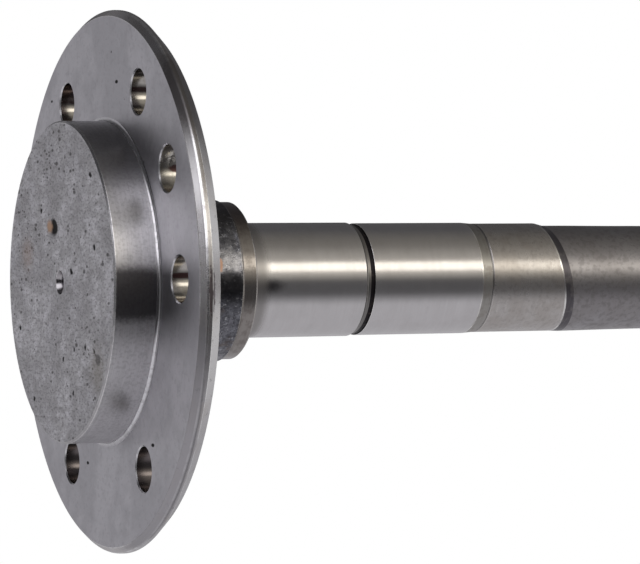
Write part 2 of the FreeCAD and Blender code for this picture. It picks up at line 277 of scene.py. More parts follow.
def turned_corners(sizes):
    """Return the corners of the turned outline, from the pilot's centre to the spline's centre."""
    pilot, face, rim, seat = sizes.pilot_radius, sizes.wheel_face, sizes.flange_radius, sizes.stud_seat
    front, rear = sizes.rim_front_chamfer, sizes.rim_rear_chamfer
    hub, collar, shoulder = sizes.hub_radius, sizes.collar_radius, sizes.shoulder
    seal, bearing, ring = sizes.seal_radius, sizes.bearing_radius, sizes.ring_radius
    relief, relief_end = sizes.relief_start, sizes.relief_start + sizes.relief_width
    relief_floor = seal - sizes.relief_depth
    mark_start, mark_floor = sizes.ring_start - sizes.tool_mark_width, ring - sizes.tool_mark_depth
    top, neck = sizes.total_length, sizes.neck_radius
    spline = sizes.spline_teeth * sizes.spline_module / 2 + sizes.spline_addendum
    spline_start = top - sizes.spline_length
    mouth, drill, depth = sizes.centre_mouth_radius, sizes.centre_drill_radius, sizes.centre_depth
    cone_depth = (mouth - drill) / math.tan(HALF_CONE_ANGLE)
    wall_depth = depth - drill / math.tan(HALF_POINT_ANGLE)
    # Across, up, finish of the run after the corner, and rounding and vertex spacing in mm.
    return [Corner(*values) for values in (
        (0, depth, "lathe_centre_drilled", 0),
        (drill, wall_depth, "lathe_centre_drilled", 0),
        (drill, cone_depth, "lathe_centre_drilled", 0),
        (mouth, 0, "pilot_face_skin", 0.2, 0.8),
        (pilot - PILOT_EDGE_BREAK, 0, "edge_break_cut", 0.15),
        (pilot, PILOT_EDGE_BREAK, "pilot_turned_wall", 0.15),
        (pilot, face, "pilot_foot_cut", 1.2),
        (pilot + PILOT_FOOT_WIDTH, face, "wheel_face_turned", 0),
        (rim - front, face, "rim_turned", 0.3),
        (rim, face + front, "rim_turned", 1.1),
        (rim, seat - rear, "rim_turned", 0.3),
        (rim - rear, seat, "flange_back_turned"),
        (sizes.stud_seat_radius, seat, "forged_scale", 1.0, 1.5),
        (hub, sizes.hub_start, "forged_scale", 12, 0.9),
        (hub, sizes.collar_start - (hub - collar), "collar_turned", 0.2),
        (collar, sizes.collar_start, "collar_turned", 0.2),
        (collar, shoulder - COLLAR_EDGE_BREAK, "collar_turned", 0.15),
        (collar - COLLAR_EDGE_BREAK, shoulder, "collar_turned", 0.15),
        (seal, shoulder, "ground_seat", 2.5),
        (seal, relief, "relief_groove_turned", 0.1),
        (relief_floor, relief + sizes.relief_depth, "relief_groove_turned", 0.6),
        # The end of the relief's floor and its far wall get painted shade.
        (relief_floor, relief_end - RELIEF_SHADE_WIDTH, "relief_painted_shade", 0),
        (relief_floor, relief_end, "relief_painted_shade", 0.1),
        (bearing, relief_end, "ground_seat", 0.1),
        (bearing, sizes.bearing_end - BEARING_EDGE_WIDTH, "seat_edge_polished", 0),
        (bearing, sizes.bearing_end, "seat_lead_turned", 0.15),
        (ring, mark_start, "relief_groove_turned", 0.1),
        (mark_floor, mark_start + sizes.tool_mark_depth, "relief_groove_turned", 0.1),
        (mark_floor, sizes.ring_start - sizes.tool_mark_depth, "relief_groove_turned", 0.1),
        (ring, sizes.ring_start, "ring_seat_turned", 0.1),
        (ring, sizes.ring_end - RING_EDGE_WIDTH, "seat_edge_polished", 0),
        (ring, sizes.ring_end, "run_out_stained", 0.6, 1.0),
        (sizes.shaft_radius, sizes.ring_end + sizes.ring_lead, "forged_shaft_skin", 2, 8),
        (sizes.shaft_inner_radius, neck_lip(sizes), "neck_turned", 0.8),
        (neck, spline_start - sizes.neck_length, "neck_turned", 4, 8),
        (neck, spline_start, "neck_turned", 0.3),
        (spline, spline_start + spline - neck, "spline_hobbed", 0.1, 20),
        (spline, top - sizes.spline_chamfer, "spline_hobbed", 0.1),
        (spline - sizes.spline_chamfer, top, "neck_turned", 0.15),
        (mouth, top, "lathe_centre_drilled", 0.2),
        (drill, top - cone_depth, "lathe_centre_drilled", 0),
        (drill, top - wall_depth, "lathe_centre_drilled", 0),
        (0, top - depth, "lathe_centre_drilled", 0),
    )]


def is_worn_edge(before, corner, after):
    """Tell whether a corner is a small outside edge, which handling polishes."""
    inward = corner.place - before
    outward = after - corner.place
    return inward.cross(outward) > 0 and corner.rounding <= WORN_ROUNDING


def corner_arc(before, corner, after):
    """Return the points that round a corner, or the corner itself where it stays sharp."""
    inward = (corner.place - before).normalized()
    outward = (after - corner.place).normalized()
    turn = inward.angle(outward)
    if corner.rounding == 0 or turn < NO_TURN:
        return [corner.place]
    start = corner.place - inward * corner.rounding * math.tan(turn / 2)
    side = Vector((-inward.y, inward.x))
    if side.dot(outward) < 0:
        side = -side
    middle = start + side * corner.rounding
    steps = max(2, math.ceil(turn / ARC_STEP))
    points = []
    for step in range(steps + 1):
        angle = turn * step / steps
        points.append(middle + corner.rounding * (inward * math.sin(angle) - side * math.cos(angle)))
    return points


def outline_points(corners):
    """Return the outline's points in order: place, finish of the band that starts there, edge wear."""
    arcs = [[corners[0].place]]
    worn = [0.0]
    for before, corner, after in zip(corners, corners[1:], corners[2:]):
        arcs.append(corner_arc(before.place, corner, after.place))
        worn.append(float(is_worn_edge(before.place, corner, after.place)))
    points = []
    for number, arc in enumerate(arcs):
        corner = corners[number]
        points += [(place, corner.finish, worn[number]) for place in arc]
        end = arcs[number + 1][0] if number + 1 < len(arcs) else corners[-1].place
        run = end - arc[-1]
        pad = min(SUPPORT, run.length / 4)
        inner = run.length - 2 * pad
        parts = max(1, round(inner / corner.spacing))
        for part in range(parts + 1):
            distance = pad + inner * part / parts
            points.append((arc[-1] + run.normalized() * distance, corner.finish, 0.0))
    return points + [(corners[-1].place, corners[-1].finish, 0.0)]


def store(mesh, name, kind, domain, values):
    """Store values on a mesh under a name."""
    mesh.attributes.new(name, kind, domain).data.foreach_set("value", values)


def make_outline(sizes):
    """Make the turned outline as a string of edges in the XZ plane, and return its object."""
    places, finishes, wear = zip(*outline_points(turned_corners(sizes)))
    mesh = bpy.data.meshes.new("turned_outline")
    mesh.from_pydata([(place.x, 0.0, place.y) for place in places],
                     [(i, i + 1) for i in range(len(places) - 1)], [])
    store(mesh, "finish", "INT", "POINT", finishes)
    store(mesh, "edge", "FLOAT", "POINT", wear)
    outline = bpy.data.objects.new(NODE + "_turned", mesh)
    bpy.context.scene.collection.objects.link(outline)
    return outline


# Geometry Nodes: the lathe, the drills and the hob

# The grid that the lathe bends round the axis is one unit wide, with its middle at zero.
HALF_GRID = 0.5
WELD_DISTANCE = 0.001 * MM


def named_attribute(tree, name, kind):
    """Return the socket of a mesh attribute."""
    node = add_node(tree, "GeometryNodeInputNamedAttribute", {"Name": name}, data_type=kind)
    return node.outputs["Attribute"]


def lathe_group():
    """Make the node group that revolves an outline in the XZ plane round the Z axis."""
    tree, given, mesh = new_tree("Lathe", "GeometryNodeTree", [
        ("Outline", "Geometry", None), ("Segments", "Int", 256)], "Mesh", "Geometry")

    def sampled(value, kind, row):
        """Return a value of the outline's point in a row."""
        inputs = {"Geometry": given["Outline"], "Value": value, "Index": row}
        return add_node(tree, "GeometryNodeSampleIndex", inputs, data_type=kind, domain="POINT").outputs[0]

    def stored(geometry, name, value, kind, domain):
        """Store a value on a geometry and return it."""
        inputs = {"Geometry": geometry, "Name": name, "Value": value}
        return add_node(tree, "GeometryNodeStoreNamedAttribute", inputs, data_type=kind,
                        domain=domain).outputs[0]

    size = add_node(tree, "GeometryNodeAttributeDomainSize", {0: given["Outline"]}, component="MESH")
    rows = size.outputs["Point Count"]
    columns = maths(tree, "ADD", given["Segments"], 1)
    grid = add_node(tree, "GeometryNodeMeshGrid", {"Vertices X": columns, "Vertices Y": rows})
    place = add_node(tree, "GeometryNodeInputPosition").outputs[0]
    across = separate(tree, place)
    last_row = maths(tree, "SUBTRACT", rows, 1)
    row = maths(tree, "MULTIPLY", maths(tree, "ADD", across["Y"], HALF_GRID), last_row)
    turn = maths(tree, "MULTIPLY", maths(tree, "ADD", across["X"], HALF_GRID), math.tau)
    nearest = maths(tree, "ROUND", row)
    finish = sampled(named_attribute(tree, "finish", "INT"), "INT", maths(tree, "FLOOR", row))
    edge = sampled(named_attribute(tree, "edge", "FLOAT"), "FLOAT", nearest)
    geometry = stored(grid.outputs["Mesh"], "finish", finish, "INT", "FACE")
    geometry = stored(geometry, "edge", edge, "FLOAT", "POINT")
    point = separate(tree, sampled(place, "FLOAT_VECTOR", nearest))
    moved = add_node(tree, "GeometryNodeSetPosition", {
        "Geometry": geometry, "Position": on_circle(tree, point["X"], turn, point["Z"])})
    weld = add_node(tree, "GeometryNodeMergeByDistance", {
        "Geometry": moved.outputs[0], "Distance": WELD_DISTANCE})
    feed(tree, mesh, weld.outputs[0])
    return tree


def ring_group():
    """Make the node group that repeats a tool evenly on a circle round the Z axis."""
    tree, given, tools = new_tree("Ring of tools", "GeometryNodeTree", [
        ("Tool", "Geometry", None), ("Count", "Int", 6), ("Circle Radius", "Float", 0.07),
        ("First Angle", "Float", 0.0), ("Height", "Float", 0.0)], "Tools", "Geometry")
    index = add_node(tree, "GeometryNodeInputIndex").outputs[0]
    share = maths(tree, "DIVIDE", index, given["Count"])
    angle = maths(tree, "ADD", maths(tree, "MULTIPLY", share, math.tau), given["First Angle"])
    place = on_circle(tree, given["Circle Radius"], angle, given["Height"])
    points = add_node(tree, "GeometryNodePoints", {"Count": given["Count"], "Position": place})
    ring = add_node(tree, "GeometryNodeInstanceOnPoints", {
        "Points": points.outputs[0], "Instance": given["Tool"], "Rotation": combine(tree, Z=angle)})
    feed(tree, tools, add_node(tree, "GeometryNodeRealizeInstances", {0: ring.outputs[0]}).outputs[0])
    return tree


def make_tool(name, sections, finishes):
    """Make a closed tool from sections of as many points, with a finish for each band between them."""
    sides = len(sections[0])
    faces = [tuple(reversed(range(sides)))]
    for low in range(0, sides * len(finishes), sides):
        for side in range(sides):
            after = (side + 1) % sides
            faces.append((low + side, low + after, low + sides + after, low + sides + side))
    faces.append(tuple(range(sides * len(finishes), sides * len(sections))))
    mesh = bpy.data.meshes.new(name)
    mesh.from_pydata([place for section in sections for place in section], [], faces)
    numbers = [FINISH_NUMBER[finish] for finish in finishes for side in range(sides)]
    store(mesh, "finish", "INT", "FACE", [numbers[0]] + numbers + [numbers[-1]])
    return bpy.data.objects.new(name, mesh)


TOOL_CLEARANCE = 2 * MM
DRILL_SIDES = 64
FLANK_STEPS = 6


def make_drill(name, radius, wall_finish, sizes):
    """Make a countersunk drill that passes through the flange from its wheel face."""
    edge = sizes.hole_edge_break
    far = sizes.stud_seat - sizes.wheel_face + TOOL_CLEARANCE
    turns = [math.tau * side / DRILL_SIDES for side in range(DRILL_SIDES)]
    sections = []
    for across, up in ((radius + edge + TOOL_CLEARANCE, -TOOL_CLEARANCE), (radius, edge), (radius, far)):
        sections.append([(across * math.cos(turn), across * math.sin(turn), up) for turn in turns])
    return make_tool(name, sections, ["edge_break_cut", wall_finish])


def involute(angle):
    """Return the involute function of an angle in radians."""
    return math.tan(angle) - angle


def make_hob(sizes):
    """Make the prism that cuts one space between two teeth, centred on the X axis."""
    pitch_radius = sizes.spline_teeth * sizes.spline_module / 2
    base_radius = pitch_radius * math.cos(sizes.pressure_angle)
    root_radius = pitch_radius - sizes.spline_dedendum
    clear_radius = pitch_radius + 2 * sizes.spline_addendum
    flank = []
    for step in range(FLANK_STEPS + 1):
        radius = root_radius + (clear_radius - root_radius) * step / FLANK_STEPS
        opening = involute(math.acos(base_radius / radius)) - involute(sizes.pressure_angle)
        half_space = math.pi / (2 * sizes.spline_teeth) + opening
        flank.append((radius * math.cos(half_space), radius * math.sin(half_space)))
    outline = [(x, -y) for x, y in flank] + flank[::-1] + [(root_radius, 0.0)]
    low = sizes.total_length - sizes.spline_length - sizes.neck_length / 2
    high = sizes.total_length + TOOL_CLEARANCE
    return make_tool("hob", [[(x, y, up) for x, y in outline] for up in (low, high)], ["spline_hobbed"])


def shaft_tree(materials):
    """Make the tree that turns the outline, drills and hobs it and gives each band its finish."""
    tree, given, shaft = new_tree("Axle shaft", "GeometryNodeTree", [
        ("Outline", "Geometry", None), ("Segments", "Int", 256), ("Stud Drill", "Object", None),
        ("Studs", "Int", 6), ("Access Drill", "Object", None), ("Access Angle", "Float", 0.0),
        ("Hole Circle", "Float", 0.07), ("Wheel Face", "Float", 0.0154), ("Hob", "Object", None),
        ("Teeth", "Int", 30)], "Shaft", "Geometry")
    turned = add_node(tree, "GeometryNodeGroup", {
        "Outline": given["Outline"], "Segments": given["Segments"]}, node_tree=lathe_group())
    cut = add_node(tree, "GeometryNodeMeshBoolean", {0: turned.outputs["Mesh"]}, operation="DIFFERENCE",
                   solver="MANIFOLD")
    rings = ring_group()
    circle, face = given["Hole Circle"], given["Wheel Face"]
    for tool, count, radius, angle, height in (
            ("Stud Drill", given["Studs"], circle, 0.0, face),
            ("Access Drill", 1, circle, given["Access Angle"], face),
            ("Hob", given["Teeth"], 0.0, 0.0, 0.0)):
        info = add_node(tree, "GeometryNodeObjectInfo", {"Object": given[tool]})
        ring = add_node(tree, "GeometryNodeGroup", {
            "Tool": info.outputs["Geometry"], "Count": count, "Circle Radius": radius,
            "First Angle": angle, "Height": height}, node_tree=rings)
        feed(tree, cut.inputs[1], ring.outputs["Tools"])
    geometry = add_node(tree, "GeometryNodeRealizeInstances", {0: cut.outputs[0]}).outputs[0]
    finish = named_attribute(tree, "finish", "INT")
    for name, number in FINISH_NUMBER.items():
        chosen = add_node(tree, "FunctionNodeCompare", {"A": finish, "B": number}, data_type="INT",
                          operation="EQUAL")
        paint = add_node(tree, "GeometryNodeSetMaterial", {
            "Geometry": geometry, "Selection": chosen.outputs[0], "Material": materials[name]})
        geometry = paint.outputs[0]
    feed(tree, shaft, geometry)
    return tree


def set_modifier_inputs(modifier, values):
    """Set the named inputs of a Geometry Nodes modifier by their sockets' identifiers."""
    for item in modifier.node_group.interface.items_tree:
        if item.item_type == "SOCKET" and item.in_out == "INPUT" and item.name in values:
            modifier[item.identifier] = values[item.name]


def plain_mesh(source, name):
    """Turn an object with a live modifier into a piece with a plain mesh, and remove the source."""
    graph = bpy.context.evaluated_depsgraph_get()
    mesh = bpy.data.meshes.new_from_object(source.evaluated_get(graph), depsgraph=graph)
    mesh.name = name
    while mesh.materials and mesh.materials[0] is None:
        mesh.materials.pop(index=0)
    piece = bpy.data.objects.new(name, mesh)
    bpy.context.scene.collection.objects.link(piece)
    source.modifiers.clear()
    bpy.data.objects.remove(source)
    return piece


# Marks and relief in the mesh itself

SHARP_ANGLE = math.radians(35)
# Marks struck into the pilot face: centre across and up, half sizes, turn in degrees and depth, in mm.
FACE_MARKS = [
    ((-6.4, -18.0), (4.9, 3.3), 8.0, 0.7),
    ((11.4, -3.4), (1.6, 0.9), 30.0, 0.35),
    ((-18.2, -24.0), (1.0, 0.8), 0.0, 0.3),
    ((31.3, -34.0), (1.1, 0.9), 0.0, 0.3),
    ((34.2, -10.9), (0.9, 1.1), 0.0, 0.3),
    ((24.1, 21.4), (1.0, 0.8), 0.0, 0.3),
    ((32.7, 22.3), (1.1, 0.8), 0.0, 0.3),
    ((13.3, 21.8), (0.8, 0.8), 0.0, 0.25),
    ((2.2, 25.1), (0.9, 0.8), 0.0, 0.25),
    ((-42.2, 14.6), (0.9, 1.0), 0.0, 0.3),
    ((11.7, 36.1), (1.0, 0.8), 0.0, 0.3),
    ((-28.3, 38.4), (0.9, 0.9), 0.0, 0.3),
]
# Pits in the wheel face that the photo shows: place across and up the face and reach, in mm.
WHEEL_FACE_PITS = [(14.8, -65.1, 1.0), (-50.6, -62.6, 0.7), (43.9, 52.5, 1.0), (-18.7, 60.3, 0.9)]
FACE_TOLERANCE = 0.05 * MM
BOWL_POWER = 0.6
BOWL_TILT = 0.35
# A mark whose half width is under this is a nick, which the finish fills with painted shade by its depth.
NICK_HALF_WIDTH = 2
FORGING_WAVE = 22 * MM
FORGING_RELIEF = 0.16 * MM
SCALE_GRAIN = 2.6 * MM
SCALE_RELIEF = 0.17 * MM
FORGING_SHIFT = 0.5 * MM
# The shift fades out over this run before the neck.
FORGING_SHIFT_RUN = 100 * MM
SLANT = 3.2 * MM
SLANT_RUN = 14 * MM
HUB_CLEARANCE = 0.6 * MM
SEAT_FADE = 6 * MM
# Forging leaves more hollows than bumps.
HOLLOW_BIAS = 0.5


def read_places(mesh):
    """Return the places of a mesh's vertices as an array."""
    places = np.empty(len(mesh.vertices) * 3)
    mesh.vertices.foreach_get("co", places)
    return places.reshape(-1, 3)


def write_places(mesh, places):
    """Move a mesh's vertices to these places."""
    mesh.vertices.foreach_set("co", places.ravel())
    mesh.update()


def press_marks(mesh):
    """Press the dent and the nicks into the pilot face and note the nicks' depth for the painted shade in
    them.
    """
    places = read_places(mesh)
    pressed = np.zeros(len(places))
    on_face = np.abs(places[:, 2]) < FACE_TOLERANCE
    for (across, up), (half_width, half_height), turn, depth in FACE_MARKS:
        angle = math.radians(turn)
        x = places[:, 0] / MM - across
        y = places[:, 1] / MM - up
        along = (x * math.cos(angle) + y * math.sin(angle)) / half_width
        aside = (y * math.cos(angle) - x * math.sin(angle)) / half_height
        distance = np.hypot(along, aside)
        bowl = np.clip(1 - distance ** 2, 0, 1) ** BOWL_POWER
        inside = on_face & (distance < 1)
        places[:, 2] += np.where(inside, bowl * (1 + BOWL_TILT * along) * depth * MM, 0)
        pressed = np.maximum(pressed, np.where(inside & (half_width < NICK_HALF_WIDTH), bowl, 0))
    write_places(mesh, places)
    store(mesh, "mark", "FLOAT", "POINT", pressed)


def lean_forging(mesh, sizes):
    """Set the forged shaft off the turned axis, so that the ring seat runs out at a slant."""
    places = read_places(mesh)
    height = places[:, 2]
    radius = np.maximum(np.hypot(places[:, 0], places[:, 1]), MM)
    seat_end, lead_end = sizes.ring_end, sizes.ring_end + sizes.ring_lead
    lip = neck_lip(sizes)
    slant = np.interp(height, [seat_end - SLANT_RUN, seat_end, lead_end, lead_end + SLANT_RUN], [0, 1, 1, 0])
    shift = np.interp(height, [seat_end, lead_end, lip - FORGING_SHIFT_RUN, lip - MM], [0, 1, 1, 0])
    places[:, 2] += slant * SLANT * places[:, 1] / radius
    places[:, 1] += shift * FORGING_SHIFT
    write_places(mesh, places)


def roughen_forging(mesh, sizes):
    """Give the as-forged stretches the shallow unevenness that the dies and the scale leave."""
    places = read_places(mesh)
    height = places[:, 2]
    lead_end = sizes.ring_end + sizes.ring_lead
    shaft = (height > lead_end + MM) & (height < neck_lip(sizes) - MM)
    hub = (height > sizes.stud_seat + HUB_CLEARANCE) & (height < sizes.collar_start - 2 * HUB_CLEARANCE)
    hub &= np.hypot(places[:, 0], places[:, 1]) < sizes.stud_seat_radius - HUB_CLEARANCE
    for number in np.nonzero(shaft | hub)[0]:
        place = Vector(places[number])
        relief = FORGING_RELIEF * (noise.noise(place / FORGING_WAVE) - HOLLOW_BIAS)
        if hub[number]:
            relief += SCALE_RELIEF * (noise.noise(place / SCALE_GRAIN) - HOLLOW_BIAS)
        fade = min(1.0, abs(height[number] - lead_end) / SEAT_FADE) if shaft[number] else 1.0
        outward = Vector((place.x, place.y, 0)).normalized()
        places[number] = place + outward * relief * fade
    write_places(mesh, places)


# Shader node groups for the effects that several finishes use

# Detail and roughness of the noise in each effect.
RING_NOISE = (3.0, 0.65)
PATCH_NOISE = (4.0, 0.6)
MARK_NOISE = (3.0, 0.6)
# Noise levels between which the rings and the wear fade in.
RING_LEVELS = (0.3, 0.7)
WEAR_LEVELS = (0.3, 0.6)
WEAR_SCALE = 0.3
# Noise level above which no patch is left, and how far it falls to where patches cover everything.
PATCH_TOP = 0.72
PATCH_SPAN = 0.44


def noise_value(tree, vector, detail, roughness):
    """Return the value of a noise texture of unit size at a vector."""
    inputs = {"Vector": vector, "Scale": 1.0, "Detail": detail, "Roughness": roughness}
    return add_node(tree, "ShaderNodeTexNoise", inputs).outputs["Fac"]


def mask_tree(name, *inputs):
    """Make a shader node group that turns a vector and other inputs into a mask."""
    return new_tree(name, "ShaderNodeTree", [("Vector", "Vector", None), *inputs], "Mask", "Float")


def turning_marks_group():
    """Make the group for the fine rings that a lathe tool or a grinding wheel leaves round the axis."""
    tree, given, mask = mask_tree("Turning marks", ("Pitch", "Float", 0.6), ("Wander", "Float", 3.0))
    place = separate(tree, given["Vector"])
    flat = combine(tree, X=place["X"], Y=place["Y"])
    travel = maths(tree, "ADD", vector_maths(tree, "LENGTH", flat), place["Z"])
    around = scale_vector(tree, vector_maths(tree, "NORMALIZE", flat), given["Wander"])
    turns = maths(tree, "DIVIDE", maths(tree, "DIVIDE", travel, MM), given["Pitch"])
    ring = vector_maths(tree, "ADD", around, combine(tree, Z=turns))
    feed(tree, mask, map_range(tree, noise_value(tree, ring, *RING_NOISE), *RING_LEVELS))
    return tree


def blotches_group():
    """Make the group for ragged patches of one size, from grain to stains."""
    tree, given, mask = mask_tree("Blotches", ("Size", "Float", 5.0), ("Amount", "Float", 0.5),
                                  ("Softness", "Float", 0.1), ("Seed", "Float", 0.0))
    scaled = scale_vector(tree, given["Vector"], maths(tree, "DIVIDE", 1 / MM, given["Size"]))
    seed = given["Seed"]
    moved = vector_maths(tree, "ADD", scaled, combine(tree, X=seed, Y=seed, Z=seed))
    value = noise_value(tree, moved, *PATCH_NOISE)
    level = maths(tree, "SUBTRACT", PATCH_TOP, maths(tree, "MULTIPLY", given["Amount"], PATCH_SPAN))
    low = maths(tree, "SUBTRACT", level, given["Softness"])
    feed(tree, mask, map_range(tree, value, low, maths(tree, "ADD", level, given["Softness"])))
    return tree


def pits_group():
    """Make the group for small round pits scattered at random."""
    tree, given, mask = mask_tree("Pits", ("Spacing", "Float", 3.0), ("Width", "Float", 0.2),
                                  ("Share", "Float", 0.5))
    scaled = scale_vector(tree, given["Vector"], maths(tree, "DIVIDE", 1 / MM, given["Spacing"]))
    cells = add_node(tree, "ShaderNodeTexVoronoi", {"Vector": scaled, "Scale": 1.0})
    split = add_node(tree, "ShaderNodeSeparateColor", {0: cells.outputs["Color"]}).outputs
    width = maths(tree, "MULTIPLY", given["Width"], split["Green"])
    outside = map_range(tree, cells.outputs["Distance"], maths(tree, "MULTIPLY", width, 0.5), width)
    chosen = maths(tree, "LESS_THAN", split["Red"], given["Share"])
    feed(tree, mask, maths(tree, "MULTIPLY", maths(tree, "SUBTRACT", 1.0, outside), chosen))
    return tree


def local_mark_group():
    """Make the group for one ragged mark at a place on the part."""
    tree, given, mask = mask_tree("Local mark", ("Centre", "Vector", None), ("Reach", "Vector", None),
                                  ("Ragged", "Float", 0.6), ("Softness", "Float", 0.4))
    millimetres = scale_vector(tree, given["Vector"], 1 / MM)
    offset = vector_maths(tree, "SUBTRACT", millimetres, given["Centre"])
    distance = vector_maths(tree, "LENGTH", vector_maths(tree, "DIVIDE", offset, given["Reach"]))
    uneven = maths(tree, "SUBTRACT", noise_value(tree, millimetres, *MARK_NOISE), 0.5)
    distance = maths(tree, "ADD", distance, maths(tree, "MULTIPLY", uneven, given["Ragged"]))
    outside = map_range(tree, distance, maths(tree, "SUBTRACT", 1.0, given["Softness"]), 1.0)
    feed(tree, mask, maths(tree, "SUBTRACT", 1.0, outside))
    return tree


def edge_wear_group():
    """Make the group for the bare bright line along edges, broken where they were not touched."""
    tree, given, mask = mask_tree("Edge wear", ("Edge", "Float", 0.0))
    value = noise_value(tree, scale_vector(tree, given["Vector"], WEAR_SCALE / MM), *MARK_NOISE)
    feed(tree, mask, maths(tree, "MULTIPLY", given["Edge"], map_range(tree, value, *WEAR_LEVELS)))
    return tree


class Steel:
    """One finish being made: bare metal over which masks lay coats and relief.

    A coat is a strength, then a colour, a roughness and a metalness, as far as it changes them.
    """

    def __init__(self, name, groups, colour, roughness):
        self.material = bpy.data.materials.new(name)
        self.material.use_nodes = True
        self.tree = self.material.node_tree
        self.groups = groups
        self.place = add_node(self.tree, "ShaderNodeTexCoord").outputs["Object"]
        self.colour = (*colour, 1.0)
        self.roughness = roughness
        self.metal = 1.0
        self.height = None

    def attribute(self, name):
        """Return the socket of a mesh attribute."""
        return add_node(self.tree, "ShaderNodeAttribute", attribute_name=name).outputs["Fac"]

    def mask(self, group, *values, place=None):
        """Return the mask of a node group with these values on its inputs, in their order."""
        node = add_node(self.tree, "ShaderNodeGroup", node_tree=self.groups[group])
        for socket, value in zip(node.inputs, (place or self.place, *values)):
            feed(self.tree, socket, value)
        return node.outputs[0]

    def lay(self, mask, strength, colour=None, roughness=None, metal=None, relief=0.0):
        """Lay a coat where a mask says, and raise it there by a relief in millimetres."""
        factor = maths(self.tree, "MULTIPLY", mask, strength)
        if colour is not None:
            self.colour = mix(self.tree, "RGBA", factor, self.colour, (*colour, 1.0))
        if roughness is not None:
            self.roughness = mix(self.tree, "FLOAT", factor, self.roughness, roughness)
        if metal is not None:
            self.metal = mix(self.tree, "FLOAT", factor, self.metal, metal)
        if relief:
            layer = maths(self.tree, "MULTIPLY", mask, relief * MM)
            self.height = layer if self.height is None else maths(self.tree, "ADD", self.height, layer)

    def rings(self, pitch, wander, *coat, relief=0.0):
        """Lay a coat over the rings that a tool leaves: their pitch in millimetres, and their wander."""
        self.lay(self.mask("turning_marks", pitch, wander), *coat, relief=relief)

    def patches(self, pattern, *coat, relief=0.0, place=None):
        """Lay a coat over patches: their size in millimetres, amount, softness and seed if not 0."""
        self.lay(self.mask("blotches", *pattern, place=place), *coat, relief=relief)

    def pits(self, spacing, width, share, *coat, relief=0.0, place=None):
        """Lay a coat over pits: their spacing in millimetres, width in spacings, and share kept."""
        self.lay(self.mask("pits", spacing, width, share, place=place), *coat, relief=relief)

    def stain_and_painted_light(self, centre, reach, border, *coat):
        """Lay a coat over one mark, a real stain in some finishes and painted light and shade in others:
        centre and reach in millimetres, raggedness and softness.
        """
        self.lay(self.mask("local_mark", centre, reach, *border), *coat)

    def bare_edges(self, *coat):
        """Lay a coat along the worn edges."""
        self.lay(self.mask("edge_wear", self.attribute("edge")), *coat)

    def finished(self):
        """Link everything to the shader and return the material."""
        shader = self.tree.nodes["Principled BSDF"]
        feed(self.tree, shader.inputs["Base Color"], self.colour)
        feed(self.tree, shader.inputs["Roughness"], self.roughness)
        feed(self.tree, shader.inputs["Metallic"], self.metal)
        if self.height is not None:
            bump = add_node(self.tree, "ShaderNodeBump", {"Distance": 1.0, "Height": self.height})
            feed(self.tree, shader.inputs["Normal"], bump.outputs[0])
        return self.material


RUST = (0.38, 0.24, 0.15)
# Near-black: soot, and the painted shade in the nicks and the dent of the pilot face.
SOOT_AND_SHADE = (0.015, 0.014, 0.014)
# Where the specks of the pilot face crowd: centre and reach in mm.
CROWDED_PLACES = [((-36, -12, 0), (15, 27, 9)), ((31, 24, 0), (15, 15, 9)), ((-6, -42, 0), (28, 15, 9))]


def pilot_face_skin(steel):
    """The flat pilot face: dull skin, thickly speckled, with stains, pits and rust in the dent, and painted
    shade in the dent and the nicks.
    """
    wide = vector_maths(steel.tree, "MULTIPLY", steel.place, (0.5, 1.0, 1.0))
    steel.patches((26.0, 0.5, 0.08), 0.7, (0.58, 0.575, 0.6), 0.4)
    steel.patches((11.0, 0.5, 0.08, 4.0), 0.55, (0.29, 0.285, 0.29))
    steel.patches((4.0, 0.45, 0.07, 9.0), 0.45, (0.27, 0.265, 0.27), place=wide)
    steel.patches((1.7, 0.42, 0.05, 5.0), 0.45, (0.24, 0.235, 0.24), place=wide)
    steel.patches((0.8, 0.36, 0.05, 2.0), 0.5, (0.15, 0.145, 0.15), 0.6, relief=-0.02, place=wide)
    crowd = 0.0
    for centre, reach in CROWDED_PLACES:
        crowd = maths(steel.tree, "MAXIMUM", crowd, steel.mask("local_mark", centre, reach, 1.4, 0.9))
    share = maths(steel.tree, "ADD", maths(steel.tree, "MULTIPLY", crowd, 0.9), 0.15)
    steel.pits(1.5, 0.5, share, 0.8, (0.09, 0.085, 0.085), 0.7, place=wide)
    steel.pits(2.6, 0.36, share, 0.8, (0.09, 0.085, 0.085), 0.7, place=wide)
    steel.pits(5.5, 0.17, 0.25, 0.8, (0.03, 0.028, 0.025), 0.8, relief=-0.08, place=wide)
    # Painted shade: near-black in the nicks, by their depth.
    steel.lay(map_range(steel.tree, steel.attribute("mark"), 0.1, 0.5), 0.95, SOOT_AND_SHADE, 0.7)
    steel.stain_and_painted_light((36, 28, 0), (11, 11, 5), (1.2, 0.9), 0.5, (0.25, 0.23, 0.19), 0.55)
    steel.stain_and_painted_light((-33, -10, 0), (9, 8, 5), (1.2, 0.9), 0.45, (0.36, 0.27, 0.22), 0.55)
    steel.stain_and_painted_light((36.4, 25.1, 0), (3.0, 2.2, 2), (0.6, 0.4), 0.5, SOOT_AND_SHADE, 0.7)
    # Painted shadow: near-black over the dent, with the rust laid over its -X side.
    steel.stain_and_painted_light((-6.1, -18.4, 0.4), (4.1, 3.5, 3), (0.5, 0.4), 1.0, SOOT_AND_SHADE, 0.7)
    steel.stain_and_painted_light((-10, -18.6, 0.3), (3, 3, 3), (0.6, 0.7), 0.9, RUST, 0.8, 0.2)
    steel.bare_edges(0.5, (0.62, 0.61, 0.6), 0.3)


